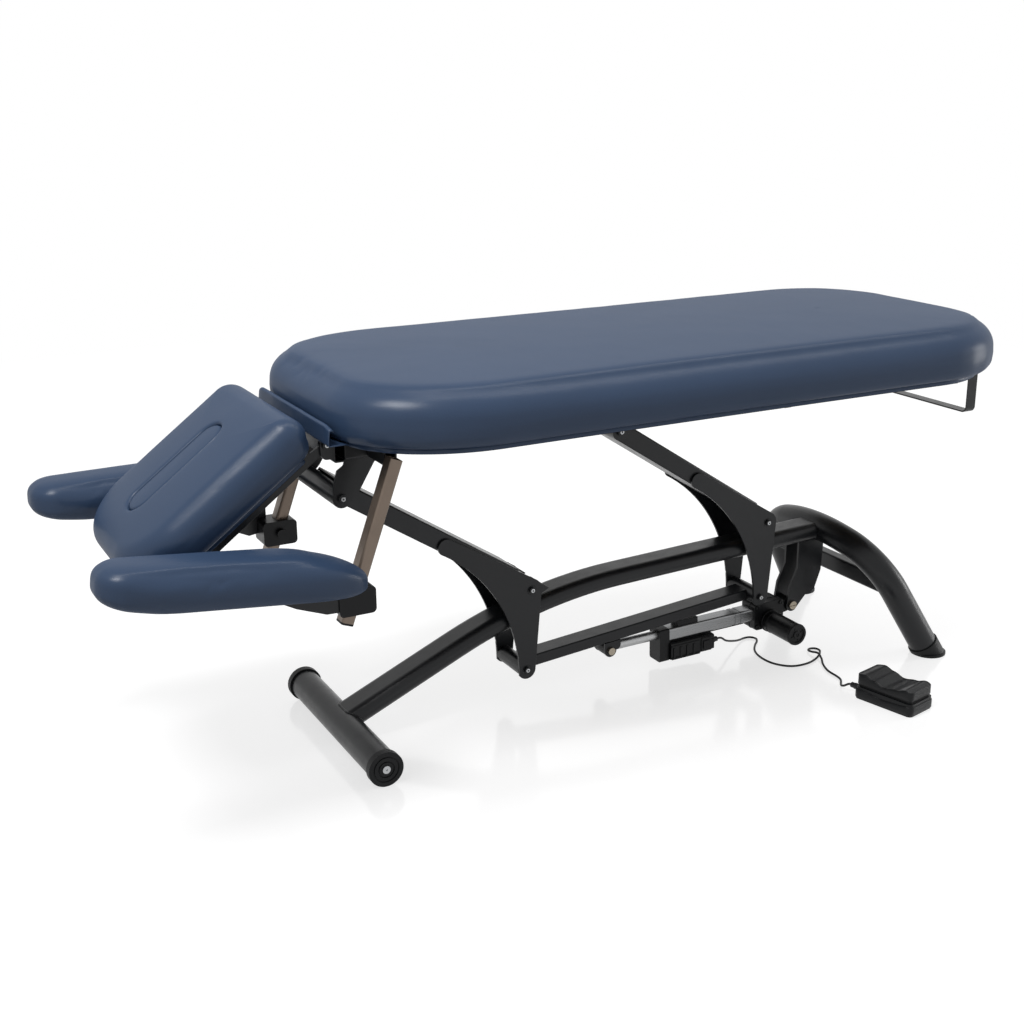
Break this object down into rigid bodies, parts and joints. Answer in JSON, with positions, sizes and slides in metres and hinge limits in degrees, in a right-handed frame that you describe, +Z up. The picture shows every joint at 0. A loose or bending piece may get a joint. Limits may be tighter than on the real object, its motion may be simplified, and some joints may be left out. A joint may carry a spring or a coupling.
{
  "type": "treatment table",
  "caption": "Electric treatment table with a parallelogram lift, a tilting head cushion with a face slot, armrests and a foot switch on a cord.",
  "frame": {"origin": "on the floor under the middle of the whole object, cord left out", "axes": "+X towards the foot end, +Y away from the foot switch, +Z up"},
  "size_m": [2.0364, 0.8356, 0.7859],
  "materials": {
    "black_frame": "satin black powder coat",
    "bronze_posts": "satin bronze",
    "bolts": "bright zinc",
    "black_plastic": "black moulded plastic",
    "grey_aluminium": "extruded aluminium",
    "plywood": "raw plywood",
    "upholstery": "navy leatherette"
  },
  "bodies": {
    "base": {"foot_bar": "black_frame", "foot_caps": "black_plastic", "cap_screws": "bolts", "spine_tube": "black_frame", "pivot_saddles": "black_frame", "rear_arch": "black_frame", "rear_feet": "black_plastic", "rear_stretcher": "black_frame", "actuator_brackets": "black_frame", "actuator_bolt": "bolts", "switch_base": "black_plastic", "switch_gland": "black_plastic", "switch_cord": "black_plastic"},
    "front_crank": {"front_arm_tube": "black_frame", "front_crank_plates": "black_frame", "front_top_tube": "black_frame", "front_crank_pins": "bolts"},
    "rear_crank": {"rear_arm_tube": "black_frame", "rear_crank_plates": "black_frame", "rear_top_tube": "black_frame", "rear_crank_pins": "bolts"},
    "tie_bar": {"tie_bar_tube": "black_frame", "tie_bar_ends": "black_frame", "rod_lug": "black_frame", "rod_lug_bolts": "bolts"},
    "table_frame": {"drop_brackets": "black_frame", "bracket_bolts": "bolts", "side_rails": "black_frame", "cross_rails": "black_frame", "table_board": "plywood", "table_cushion": "upholstery", "gap_flap": "upholstery", "head_hinge_ears": "black_frame", "armrest_posts": "bronze_posts", "post_caps": "black_plastic", "paper_roll_holder": "black_frame"},
    "head_section": {"head_board": "plywood", "head_frame": "black_frame", "head_hinge_bolts": "bolts", "head_cushion": "upholstery"},
    "plug": {"face_plug": "upholstery"},
    "left_armrest": {"left_arm_pad": "upholstery", "left_pad_arm": "black_frame", "left_clamp": "black_plastic", "left_clamp_screw": "bolts"},
    "right_armrest": {"right_arm_pad": "upholstery", "right_pad_arm": "black_frame", "right_clamp": "black_plastic", "right_clamp_screw": "bolts"},
    "actuator": {"actuator_housing": "grey_aluminium", "actuator_front_cap": "black_plastic", "gear_housing": "black_plastic", "actuator_motor": "black_plastic", "lead_screw": "bolts", "control_box": "black_plastic", "cord_gland": "black_plastic"},
    "rod": {"push_rod": "bolts"},
    "rocker": {"switch_rocker": "black_plastic"}
  },
  "joints": [
    {"name": "lift", "type": "hinge", "parent": "base", "child": "front_crank", "pos_m": [-0.08, 0.06676, 0.269], "axis": [0, 1, 0], "range_deg": [-26, 22]},
    {"name": "rear_crank_turn", "type": "hinge", "parent": "base", "child": "rear_crank", "pos_m": [0.532, 0.06676, 0.321], "axis": [0, 1, 0], "range_deg": [-26, 22]},
    {"name": "table_level", "type": "hinge", "parent": "front_crank", "child": "table_frame", "pos_m": [-0.51282, 0.06676, 0.54901], "axis": [0, 1, 0], "range_deg": [-22, 26]},
    {"name": "tie_bar_level", "type": "hinge", "parent": "front_crank", "child": "tie_bar", "pos_m": [-0.09252, 0.06676, 0.08994], "axis": [0, 1, 0], "range_deg": [-22, 26]},
    {"name": "actuator_tilt", "type": "hinge", "parent": "base", "child": "actuator", "pos_m": [0.638, 0.06676, 0.091], "axis": [0, 1, 0], "range_deg": [-0.5, 0.5]},
    {"name": "rod_slide", "type": "slide", "parent": "actuator", "child": "rod", "axis": [-0.9998, 0, -0.0179], "range_m": [-0.08, 0.068]},
    {"name": "head_tilt", "type": "hinge", "parent": "table_frame", "child": "head_section", "pos_m": [-0.547, 0.06676, 0.66201], "axis": [0, 1, 0], "range_deg": [-30, 37]},
    {"name": "plug_lift", "type": "slide", "parent": "head_section", "child": "plug", "axis": [-0.6018, 0, 0.7986], "range_m": [0, 0.06]},
    {"name": "left_armrest_height", "type": "slide", "parent": "table_frame", "child": "left_armrest", "axis": [0.342, 0, 0.9397], "range_m": [0, 0.13]},
    {"name": "right_armrest_height", "type": "slide", "parent": "table_frame", "child": "right_armrest", "axis": [0.342, 0, 0.9397], "range_m": [0, 0.13]},
    {"name": "rocker_press", "type": "hinge", "parent": "base", "child": "rocker", "pos_m": [0.615, -0.34124, 0.031], "axis": [0.9728, 0.2317, 0], "range_deg": [-4, 4], "stiffness_Nm_per_rad": 6}
  ],
  "couplings": [
    {"joint": "rear_crank_turn", "follows": "lift", "ratio": 1},
    {"joint": "table_level", "follows": "lift", "ratio": -1},
    {"joint": "tie_bar_level", "follows": "lift", "ratio": -1},
    {"joint": "actuator_tilt", "follows": "lift", "ratio": 0.015},
    {"joint": "rod_slide", "follows": "lift", "m_per_rad": 0.1745}
  ]
}
